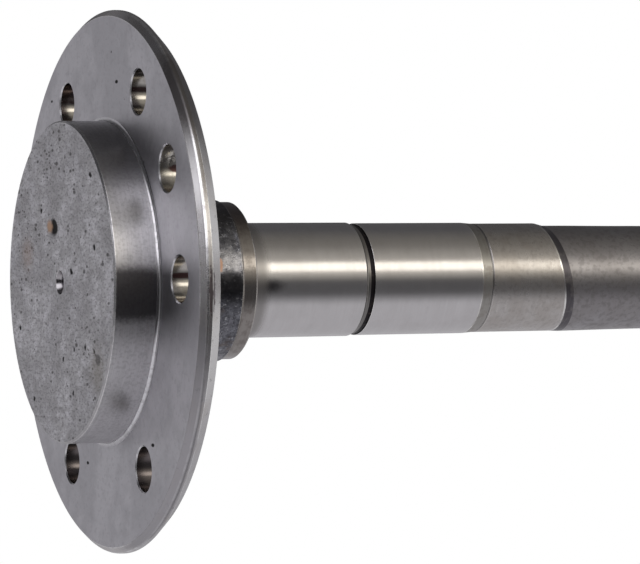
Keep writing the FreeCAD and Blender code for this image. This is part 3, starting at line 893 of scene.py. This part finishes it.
def pilot_turned_wall(steel):
    """The pilot's turned side: bright but mottled, with painted shade: a dark band on its +X side and a
    darker -Y side.
    """
    steel.rings(0.5, 2.0, 0.4, (0.38, 0.375, 0.38), 0.34, relief=0.003)
    steel.patches((9.0, 0.5, 0.12), 0.1, (0.34, 0.33, 0.34))
    steel.patches((1.0, 0.4, 0.08, 3.0), 0.35, (0.26, 0.25, 0.26))
    # Painted shade: a near-black band across the +X side, and the -Y side darkened.
    steel.stain_and_painted_light((52.5, 4.4, 5.5), (20, 10.5, 30), (0.2, 0.4), 0.85, (0.06, 0.055, 0.06))
    steel.stain_and_painted_light((33, -41, 7.5), (26, 17, 30), (0.3, 0.6), 0.6, (0.2, 0.195, 0.21))
    steel.bare_edges(0.6, (0.65, 0.64, 0.63), 0.2)


def pilot_foot_cut(steel):
    """The fillet at the pilot's foot, cut smooth by the nose of the tool."""
    steel.patches((2.0, 0.4, 0.06, 6.0), 0.4, (0.22, 0.215, 0.22), 0.3)


def wheel_face_turned(steel):
    """The flange's wheel face: turned, pale grey, with faint rings, dark flecks and a few pits."""
    steel.rings(0.9, 2.5, 0.3, (0.35, 0.345, 0.365), 0.38, relief=0.004)
    steel.patches((24.0, 0.5, 0.09), 0.5, (0.3, 0.295, 0.315), 0.4)
    steel.patches((7.0, 0.4, 0.09, 3.0), 0.3, (0.29, 0.285, 0.3), 0.4)
    steel.patches((1.6, 0.3, 0.05, 5.0), 0.35, (0.27, 0.26, 0.28), 0.42)
    steel.pits(9.0, 0.1, 0.5, 0.9, (0.04, 0.04, 0.04), 0.7, relief=-0.1)
    for across, up, reach in WHEEL_FACE_PITS:
        steel.stain_and_painted_light((across, up, 15.4), (1.7 * reach, 0.75 * reach, 2), (0.4, 0.4), 1.0, SOOT_AND_SHADE, 0.7)


def rim_turned(steel):
    """The flange's rim and chamfers: chipped, rubbed, dulled and browned here and there, with painted light
    and shade.
    """
    steel.rings(0.5, 2.0, 0.35, (0.32, 0.31, 0.315), 0.32, relief=0.005)
    steel.patches((2.2, 0.18, 0.05, 8.0), 0.45, (0.1, 0.095, 0.1), 0.5)
    steel.patches((14.0, 0.4, 0.1, 3.0), 0.3, (0.33, 0.29, 0.26))
    # Painted shade: a dark mark on the rim at its +X side.
    steel.stain_and_painted_light((89.4, 4.5, 18.8), (4, 9, 1.6), (1.6, 0.3), 0.85, (0.05, 0.035, 0.04), 0.5)
    # Painted highlight: a pale patch on the front chamfer towards +X and -Y.
    steel.stain_and_painted_light((80, -36, 16.4), (14, 23, 2.4), (0.4, 0.6), 0.6, (0.68, 0.68, 0.69), 0.3)
    steel.bare_edges(0.7, (0.7, 0.7, 0.7), 0.25)
    # Painted shade: the front chamfer darkened over the +Y side, and the rim and chamfers on the +X, -Y side.
    steel.stain_and_painted_light((70, 60, 16.2), (75, 62, 2.4), (0.15, 0.25), 0.8, (0.18, 0.175, 0.185), 0.38)
    steel.stain_and_painted_light((67, -60, 18.5), (24, 24, 6), (0.4, 0.5), 0.85, (0.13, 0.12, 0.12), 0.34)


def flange_back_turned(steel):
    """The flat behind the studs: a coarser turned face."""
    steel.rings(1.2, 2.0, 0.4, (0.3, 0.295, 0.31), 0.44, relief=0.012)
    steel.patches((12.0, 0.4, 0.1, 2.0), 0.3, (0.27, 0.25, 0.24))


def forged_scale(steel):
    """The as-forged web and hub: rough blue-black scale with greyer streaks and a dusting of rust, and
    painted light and shade on the hub.
    """
    steel.patches((3.5, 0.5, 0.14), 0.75, (0.05, 0.05, 0.06), 0.3, relief=0.04)
    steel.rings(2.2, 6.0, 0.5, (0.24, 0.245, 0.27), 0.3)
    steel.patches((1.3, 0.2, 0.04, 6.0), 0.7, (0.5, 0.5, 0.52), 0.25, relief=-0.03)
    steel.patches((0.9, 0.4, 0.05, 16.0), 0.5, (0.03, 0.03, 0.035), 0.4)
    steel.patches((6.0, 0.2, 0.08, 12.0), 0.4, (0.12, 0.08, 0.055), 0.6, 0.4)
    # Painted shade: the hub darkened on its -Y side, and a near-black band on its +X side.
    steel.stain_and_painted_light((12, -26, 50), (22, 13, 14), (0.3, 0.5), 0.85, (0.05, 0.048, 0.052), 0.25)
    steel.stain_and_painted_light((27, 2.0, 49), (9, 6.2, 8), (0.3, 0.5), 0.9, (0.025, 0.025, 0.028), 0.35)
    # Painted highlight: a pale band on the +X side, just to the -Y side of the dark band.
    steel.stain_and_painted_light((25.5, -6.6, 49), (8, 4.4, 9), (1.4, 0.5), 0.35, (0.42, 0.42, 0.44), 0.24)
    steel.stain_and_painted_light((26.5, -5.0, 46.0), (5, 3.0, 1.5), (0.6, 0.4), 0.9, (0.44, 0.27, 0.19), 0.45)


def collar_turned(steel):
    """The turned end of the hub: dull, with a brown cast and painted shade on its -Y side."""
    steel.rings(0.6, 2.0, 0.4, (0.2, 0.18, 0.17), 0.26, relief=0.004)
    steel.patches((3.0, 0.35, 0.07, 3.0), 0.4, (0.12, 0.1, 0.09), 0.35)
    # Painted shade: the collar darkened on its -Y side.
    steel.stain_and_painted_light((12, -24, 57), (20, 13, 9), (0.3, 0.6), 0.75, (0.07, 0.055, 0.055), 0.25)
    steel.bare_edges(0.55, (0.6, 0.58, 0.56), 0.25)


def ground_seat(steel):
    """The seats of the seal and the bearing: ground bright, with hair-fine lines round them and painted shade
    beside the shoulder.
    """
    steel.rings(0.35, 1.5, 0.2, (0.48, 0.47, 0.475), 0.25, relief=0.0006)
    steel.rings(4.0, 1.0, 0.2, (0.5, 0.485, 0.48), 0.26)
    steel.patches((9.0, 0.4, 0.12, 5.0), 0.2, (0.45, 0.435, 0.43))
    # Painted shade: a dark patch on the +X side of the seal seat, and a darker band along the shoulder.
    steel.stain_and_painted_light((19.2, 2.2, 67.0), (8, 3.4, 7), (0.3, 0.9), 0.85, (0.08, 0.075, 0.08))
    steel.stain_and_painted_light((0, 0, 59.7), (900, 900, 8.2), (0.12, 0.45), 0.85, (0.27, 0.258, 0.25), 0.36)
    steel.bare_edges(0.7, (0.8, 0.79, 0.77), 0.2)


def relief_groove_turned(steel):
    """The reliefs beside the seats, turned dull."""
    steel.rings(0.4, 1.5, 0.6, (0.14, 0.135, 0.13), 0.4, relief=0.006)


def relief_painted_shade(steel):
    """Painted shade: near-black at the end of the relief's floor and up its far wall, with brown flecks."""
    steel.patches((2.0, 0.2, 0.1), 0.4, (0.15, 0.12, 0.1), 0.4)


def seat_edge_polished(steel):
    """The far edges of the seats, rubbed bright by the parts that slid over them."""
    steel.patches((9.0, 0.45, 0.12, 6.0), 0.8, (0.42, 0.4, 0.39), 0.28)


def seat_lead_turned(steel):
    """The lead on to the bearing seat: turned grey-brown."""
    steel.rings(0.6, 1.5, 0.4, (0.24, 0.225, 0.21), 0.4, relief=0.004)
    steel.patches((2.5, 0.4, 0.08, 2.0), 0.4, (0.2, 0.17, 0.15), 0.45)
    steel.bare_edges(0.9, (0.8, 0.79, 0.77), 0.2)


def ring_seat_turned(steel):
    """The seat of the retaining ring: duller than the ground seats, stained light brown."""
    steel.rings(0.8, 1.5, 0.35, (0.38, 0.36, 0.345), 0.32, relief=0.002)
    steel.patches((7.0, 0.5, 0.1, 7.0), 0.35, (0.34, 0.305, 0.275), 0.34)
    steel.patches((1.4, 0.35, 0.06, 1.0), 0.3, (0.27, 0.25, 0.24))
    steel.bare_edges(0.25, (0.82, 0.8, 0.77), 0.2)


def run_out_stained(steel):
    """The lead from the forged shaft to the ring seat: stained dark."""
    steel.rings(0.6, 2.0, 0.5, (0.07, 0.065, 0.072), 0.4, relief=0.004)
    steel.patches((5.0, 0.3, 0.1, 9.0), 0.5, (0.3, 0.28, 0.27))
    steel.bare_edges(0.9, (0.85, 0.84, 0.82), 0.15)


def forged_shaft_skin(steel):
    """The long as-forged shaft: grey skin with faint scale, die lines and darker patches."""
    steel.rings(2.5, 3.0, 0.3, (0.24, 0.225, 0.225), 0.4)
    steel.patches((16.0, 0.5, 0.12, 1.0), 0.4, (0.22, 0.205, 0.2), 0.42)
    steel.patches((1.8, 0.4, 0.08, 3.0), 0.4, (0.16, 0.15, 0.15), 0.45, relief=-0.006)


def neck_turned(steel):
    """The neck and the chamfers of the splined end: plain turning."""
    steel.rings(0.7, 1.5, 0.35, (0.35, 0.34, 0.33), 0.38, relief=0.006)
    steel.bare_edges(0.6, (0.7, 0.69, 0.68), 0.25)


def spline_hobbed(steel):
    """The hobbed teeth: bright, with darker oily patches."""
    steel.rings(1.6, 1.0, 0.3, (0.38, 0.37, 0.36), 0.34)
    steel.patches((6.0, 0.35, 0.1, 2.0), 0.3, (0.3, 0.28, 0.26), 0.4)


def drilled_wall(steel):
    """The walls of the stud holes: reamed, with brownish patches and bands of painted shade across them."""
    steel.patches((3.5, 0.4, 0.1), 0.4, (0.26, 0.235, 0.22), 0.2)
    # Painted shade: dark bands across the walls of the holes on the -Y side, darker walls on the +Y side, and
    # two smaller dark marks.
    steel.stain_and_painted_light((0, -68, 19), (60, 3.4, 12), (0.3, 0.4), 0.85, (0.07, 0.06, 0.065))
    steel.stain_and_painted_light((0, -53.5, 19), (60, 3.4, 12), (0.3, 0.5), 0.8, (0.1, 0.09, 0.085))
    steel.stain_and_painted_light((-35, -63.5, 19), (9, 5.5, 12), (0.3, 0.3), 0.85, (0.1, 0.06, 0.06))
    steel.stain_and_painted_light((0, -61.8, 19), (60, 1.2, 12), (0.3, 0.4), 0.85, (0.1, 0.05, 0.05))
    steel.stain_and_painted_light((0, 60.5, 19), (60, 12, 12), (0.3, 0.2), 0.85, (0.13, 0.11, 0.115), 0.24)
    steel.stain_and_painted_light((62.5, -1.2, 19), (4, 1.0, 6), (0.3, 0.3), 0.9, (0.1, 0.04, 0.04), 0.3)


def access_hole_wall(steel):
    """The wall of the access hole: a rough drilling with ragged patches, dark and sunken in one place, and a
    dark reddish mark.
    """
    ragged = steel.mask("blotches", 2.2, 0.55, 0.05, 4.0)
    upper = steel.mask("local_mark", (56, -41, 19), (8, 6, 9), 0.5)
    steel.lay(maths(steel.tree, "MULTIPLY", ragged, upper), 0.9, (0.05, 0.05, 0.06), 0.4, relief=-0.08)
    steel.lay(ragged, 0.35, (0.3, 0.28, 0.25), 0.26)
    steel.stain_and_painted_light((53.0, -35.2, 21.5), (3, 1.5, 3.5), (0.4, 0.4), 0.9, (0.1, 0.04, 0.04), 0.3)


def edge_break_cut(steel):
    """The chamfers that break the edges of the pilot and the holes."""
    steel.patches((3.0, 0.5, 0.06), 0.6, (0.2, 0.2, 0.21), 0.34)
    # Painted shade: the pilot's chamfer darkened over its +Y side.
    steel.stain_and_painted_light((30, 48, 0), (45, 46, 4), (0.3, 0.4), 0.8, (0.23, 0.225, 0.23), 0.36)
    steel.bare_edges(0.25, (0.7, 0.7, 0.7), 0.2)


def lathe_centre_drilled(steel):
    """The cones of the lathe centres: smooth and dark, with painted shade in the centre of the pilot face."""
    steel.rings(0.5, 1.0, 0.4, (0.12, 0.115, 0.12), 0.3)
    # Painted shade: the pilot end's centre darkened on its -Y side, and near-black deep on its -X side.
    steel.stain_and_painted_light((0, -3.4, 1.0), (4, 3.2, 4), (0.3, 0.6), 0.6, (0.06, 0.055, 0.06))
    steel.stain_and_painted_light((-1.5, 0, 3.4), (4, 6, 2.2), (0.4, 0.3), 0.95, (0.03, 0.028, 0.032), 0.3)


# Finishes in the order of their numbers on the mesh: what lays the coats, and the bare colour and roughness.
FINISHES = [
    (pilot_face_skin, (0.45, 0.445, 0.468), 0.46),
    (pilot_turned_wall, (0.55, 0.545, 0.555), 0.31),
    (pilot_foot_cut, (0.4, 0.395, 0.41), 0.2),
    (wheel_face_turned, (0.42, 0.413, 0.435), 0.36),
    (rim_turned, (0.44, 0.43, 0.44), 0.26),
    (flange_back_turned, (0.44, 0.435, 0.45), 0.36),
    (forged_scale, (0.17, 0.17, 0.19), 0.2),
    (collar_turned, (0.3, 0.28, 0.265), 0.2),
    (ground_seat, (0.60, 0.588, 0.59), 0.2),
    (relief_groove_turned, (0.25, 0.238, 0.23), 0.28),
    (relief_painted_shade, (0.02, 0.018, 0.02), 0.45),
    (seat_edge_polished, (0.82, 0.81, 0.79), 0.2),
    (seat_lead_turned, (0.36, 0.35, 0.33), 0.32),
    (ring_seat_turned, (0.5, 0.48, 0.465), 0.27),
    (run_out_stained, (0.12, 0.113, 0.122), 0.34),
    (forged_shaft_skin, (0.33, 0.32, 0.33), 0.34),
    (neck_turned, (0.48, 0.47, 0.46), 0.3),
    (spline_hobbed, (0.5, 0.49, 0.48), 0.28),
    (drilled_wall, (0.48, 0.46, 0.43), 0.16),
    (access_hole_wall, (0.5, 0.48, 0.445), 0.17),
    (edge_break_cut, (0.42, 0.415, 0.425), 0.24),
    (lathe_centre_drilled, (0.3, 0.29, 0.3), 0.22),
]
FINISH_NUMBER = {lay_coats.__name__: number for number, (lay_coats, _, _) in enumerate(FINISHES)}


def make_finishes():
    """Make the material of every finish."""
    groups = {
        "turning_marks": turning_marks_group(),
        "blotches": blotches_group(),
        "pits": pits_group(),
        "local_mark": local_mark_group(),
        "edge_wear": edge_wear_group(),
    }
    materials = {}
    for lay_coats, colour, roughness in FINISHES:
        steel = Steel(lay_coats.__name__, groups, colour, roughness)
        lay_coats(steel)
        materials[lay_coats.__name__] = steel.finished()
    return materials


class AXLE_OT_make_shaft(bpy.types.Operator):
    """Turn, drill and hob the axle shaft and give each stretch its finish"""

    bl_idname = "axle.make_shaft"
    bl_label = "Make Axle Shaft"

    def execute(self, context):
        sizes = context.scene.axle_shaft_sizes
        outline = make_outline(sizes)
        access = MOUNTS["access_hole"]["pos_m"]
        stud_drill = make_drill("stud_drill", sizes.stud_hole_radius, "drilled_wall", sizes)
        access_drill = make_drill("access_drill", sizes.access_hole_radius, "access_hole_wall", sizes)
        hob = make_hob(sizes)
        modifier = outline.modifiers.new("Axle shaft", "NODES")
        modifier.node_group = shaft_tree(make_finishes())
        set_modifier_inputs(modifier, {
            "Segments": sizes.segments,
            "Stud Drill": stud_drill,
            "Studs": sizes.stud_count,
            "Access Drill": access_drill,
            "Access Angle": math.atan2(access[1], access[0]),
            "Hole Circle": sizes.stud_circle,
            "Wheel Face": sizes.wheel_face,
            "Hob": hob,
            "Teeth": sizes.spline_teeth,
        })
        piece = plain_mesh(outline, NODE + "_finished")
        for tool in (stud_drill, access_drill, hob):
            bpy.data.objects.remove(tool)
        roughen_forging(piece.data, sizes)
        lean_forging(piece.data, sizes)
        press_marks(piece.data)
        piece.data.shade_smooth()
        piece.data.set_sharp_from_angle(angle=SHARP_ANGLE)
        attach(piece, "root")
        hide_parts(NODE)
        return {"FINISHED"}


# Studio


def make_camera():
    """Make the camera at the photograph's viewing angle."""
    data = bpy.data.cameras.new("camera")
    data.sensor_width = SENSOR_WIDTH
    data.lens = FOCAL_PIXELS * SENSOR_WIDTH / PHOTO_SIZE[0]
    data.clip_end = CAMERA_REACH
    camera = bpy.data.objects.new("camera", data)
    backward = CAMERA_RIGHT.cross(CAMERA_UP)
    turned = Matrix((CAMERA_RIGHT, CAMERA_UP, backward)).transposed().to_4x4()
    camera.matrix_world = Matrix.Translation(CAMERA_PLACE) @ turned
    bpy.context.scene.collection.objects.link(camera)
    bpy.context.scene.camera = camera


# Surroundings by azimuth: share of a turn from -X through -Y, +X and +Y to -X, level, and 1 if warm.
UPPER_LEVELS = [(0.0, 0.04, 0), (0.05, 0.55, 0), (0.355, 0.6, 0), (0.415, 0.12, 0), (0.49, 0.1, 0),
                (0.525, 0.5, 1), (0.64, 0.42, 1), (0.69, 0.24, 1), (0.73, 0.2, 1), (0.83, 0.11, 0),
                (0.93, 0.1, 0), (1.0, 0.04, 0)]
LOWER_LEVELS = [(0.0, 0.6, 0), (0.08, 0.65, 0), (0.16, 1.05, 0), (0.37, 1.2, 0), (0.4, 0.03, 0),
                (0.53, 0.02, 0), (0.55, 2.4, 0), (0.67, 2.2, 0), (0.72, 0.08, 0), (0.9, 0.1, 0),
                (0.95, 0.55, 0), (1.0, 0.6, 0)]
COOL_TINT = (1.0, 0.985, 1.025)
WARM_TINT = (1.06, 1.0, 0.9)
CEILING = (1.1, 1.1, 1.1, 1.0)
NADIR = (0.25, 0.25, 0.25, 1.0)
WHITE = (1.0, 1.0, 1.0, 1.0)
# Rises of the view direction between which one part of the surroundings turns into the next.
BAND_RISES = (-0.12, 0.12)
CEILING_RISES = (0.8, 0.92)
NADIR_RISES = (-0.84, -0.93)


def level_ramp(tree, share, levels):
    """Return a colour ramp of the surroundings over a share of a turn."""
    ramp = add_node(tree, "ShaderNodeValToRGB", {0: share})
    elements = ramp.color_ramp.elements
    while len(elements) < len(levels):
        elements.new(0.5)
    for element, (position, level, warm) in zip(elements, levels):
        element.position = position
        element.color = (*(level * tint for tint in (WARM_TINT if warm else COOL_TINT)), 1.0)
    return ramp.outputs["Color"]


def make_world():
    """Make the studio's surroundings: white to the camera, and soft bands of grey round the shaft."""
    world = bpy.data.worlds.new("studio")
    world.use_nodes = True
    tree = world.node_tree
    tree.nodes.clear()
    direction = separate(tree, add_node(tree, "ShaderNodeTexCoord").outputs["Generated"])
    rise = direction["Z"]
    azimuth = maths(tree, "ARCTAN2", direction["Y"], direction["X"])
    share = maths(tree, "ADD", maths(tree, "DIVIDE", azimuth, -math.tau), 0.5)
    lower, upper = level_ramp(tree, share, LOWER_LEVELS), level_ramp(tree, share, UPPER_LEVELS)
    colour = mix(tree, "RGBA", map_range(tree, rise, *BAND_RISES), lower, upper)
    colour = mix(tree, "RGBA", map_range(tree, rise, *CEILING_RISES), colour, CEILING)
    colour = mix(tree, "RGBA", map_range(tree, rise, *NADIR_RISES), colour, NADIR)
    path = add_node(tree, "ShaderNodeLightPath")
    colour = mix(tree, "RGBA", path.outputs["Is Camera Ray"], colour, WHITE)
    background = add_node(tree, "ShaderNodeBackground", {"Color": colour})
    add_node(tree, "ShaderNodeOutputWorld", {"Surface": background.outputs[0]})
    bpy.context.scene.world = world


FLOOR_RADIUS = 4.0
FLOOR_SIDES = 64
FLOOR_GLOW = 0.3
FLOOR_ROUGHNESS = 0.8
# Shares of the floor's radius between which it fades out.
FLOOR_FADE = (0.3, 0.95)


def make_floor(settings):
    """Make the pale floor: it fades out at its rim and shows only from above, so it hides nothing."""
    mesh = bpy.data.meshes.new("floor")
    turns = [math.tau * side / FLOOR_SIDES for side in range(FLOOR_SIDES)]
    rim = [(FLOOR_RADIUS * math.cos(turn), FLOOR_RADIUS * math.sin(turn), 0) for turn in turns]
    mesh.from_pydata(rim, [], [tuple(range(FLOOR_SIDES))])
    floor = bpy.data.objects.new("floor", mesh)
    bpy.context.scene.collection.objects.link(floor)
    material = bpy.data.materials.new("floor_pale")
    material.use_nodes = True
    tree = material.node_tree
    shader = tree.nodes["Principled BSDF"]
    colour = (*settings.floor_colour, 1.0)
    for label, value in (("Base Color", colour), ("Roughness", FLOOR_ROUGHNESS),
                         ("Emission Color", colour), ("Emission Strength", FLOOR_GLOW)):
        shader.inputs[label].default_value = value
    camera_ray = add_node(tree, "ShaderNodeLightPath").outputs["Is Camera Ray"]
    behind = add_node(tree, "ShaderNodeNewGeometry").outputs["Backfacing"]
    distance = vector_maths(tree, "LENGTH", add_node(tree, "ShaderNodeTexCoord").outputs["Object"])
    start, end = (share * FLOOR_RADIUS for share in FLOOR_FADE)
    near = maths(tree, "SUBTRACT", 1.0, map_range(tree, distance, start, end))
    seen = maths(tree, "MULTIPLY", camera_ray, maths(tree, "SUBTRACT", 1.0, behind))
    clear = add_node(tree, "ShaderNodeBsdfTransparent")
    shown = add_node(tree, "ShaderNodeMixShader", {
        0: maths(tree, "MULTIPLY", seen, near), 1: clear.outputs[0], 2: shader.outputs[0]})
    feed(tree, tree.nodes["Material Output"].inputs["Surface"], shown.outputs[0])
    mesh.materials.append(material)


STRIP_AZIMUTH = math.radians(-25)
STRIP_AWAY = 8.0
STRIP_HEIGHT = 4.5
STRIP_SIZE = (2.6, 10.0)
STRIP_COLOUR = (1.0, 0.94, 0.83)
STRIP_TARGET = Vector((0, 0, 0.3))


def make_strip_lamp(settings):
    """Make the tall strip lamp that draws the white line along the ground seats."""
    data = bpy.data.lights.new("strip_lamp", "AREA")
    data.shape = "RECTANGLE"
    data.size, data.size_y = STRIP_SIZE
    data.energy = settings.strip_power
    data.color = STRIP_COLOUR
    lamp = bpy.data.objects.new("strip_lamp", data)
    lamp.location = (STRIP_AWAY * math.cos(STRIP_AZIMUTH), STRIP_AWAY * math.sin(STRIP_AZIMUTH), STRIP_HEIGHT)
    lamp.rotation_euler = (STRIP_TARGET - lamp.location).to_track_quat("-Z", "Y").to_euler()
    lamp.visible_camera = False
    bpy.context.scene.collection.objects.link(lamp)


class AXLE_OT_set_stage(bpy.types.Operator):
    """Set up the floor, the light and the camera"""

    bl_idname = "axle.set_stage"
    bl_label = "Set Stage"

    def execute(self, context):
        settings = context.scene.axle_studio
        context.scene.view_settings.view_transform = "Standard"
        make_camera()
        make_world()
        make_floor(settings)
        make_strip_lamp(settings)
        return {"FINISHED"}


class AXLE_PT_panel(bpy.types.Panel):
    """Lists the steps and their values"""

    bl_idname = "AXLE_PT_panel"
    bl_label = "Axle Shaft"
    bl_space_type = "VIEW_3D"
    bl_region_type = "UI"
    bl_category = "Axle Shaft"

    def draw(self, context):
        layout = self.layout
        for group, operator in ((context.scene.axle_shaft_sizes, AXLE_OT_make_shaft),
                                (context.scene.axle_studio, AXLE_OT_set_stage)):
            box = layout.box()
            for name in type(group).__annotations__:
                box.prop(group, name)
            box.operator(operator.bl_idname)


CLASSES = (AxleShaftSizes, StudioSettings, AXLE_OT_make_shaft, AXLE_OT_set_stage, AXLE_PT_panel)


def register():
    for cls in CLASSES:
        bpy.utils.register_class(cls)
    bpy.types.Scene.axle_shaft_sizes = bpy.props.PointerProperty(type=AxleShaftSizes)
    bpy.types.Scene.axle_studio = bpy.props.PointerProperty(type=StudioSettings)


def unregister():
    del bpy.types.Scene.axle_studio
    del bpy.types.Scene.axle_shaft_sizes
    for cls in reversed(CLASSES):
        bpy.utils.unregister_class(cls)


def main():
    register()
    bpy.ops.axle.make_shaft()
    bpy.ops.axle.set_stage()


if __name__ == "__main__":
    main()
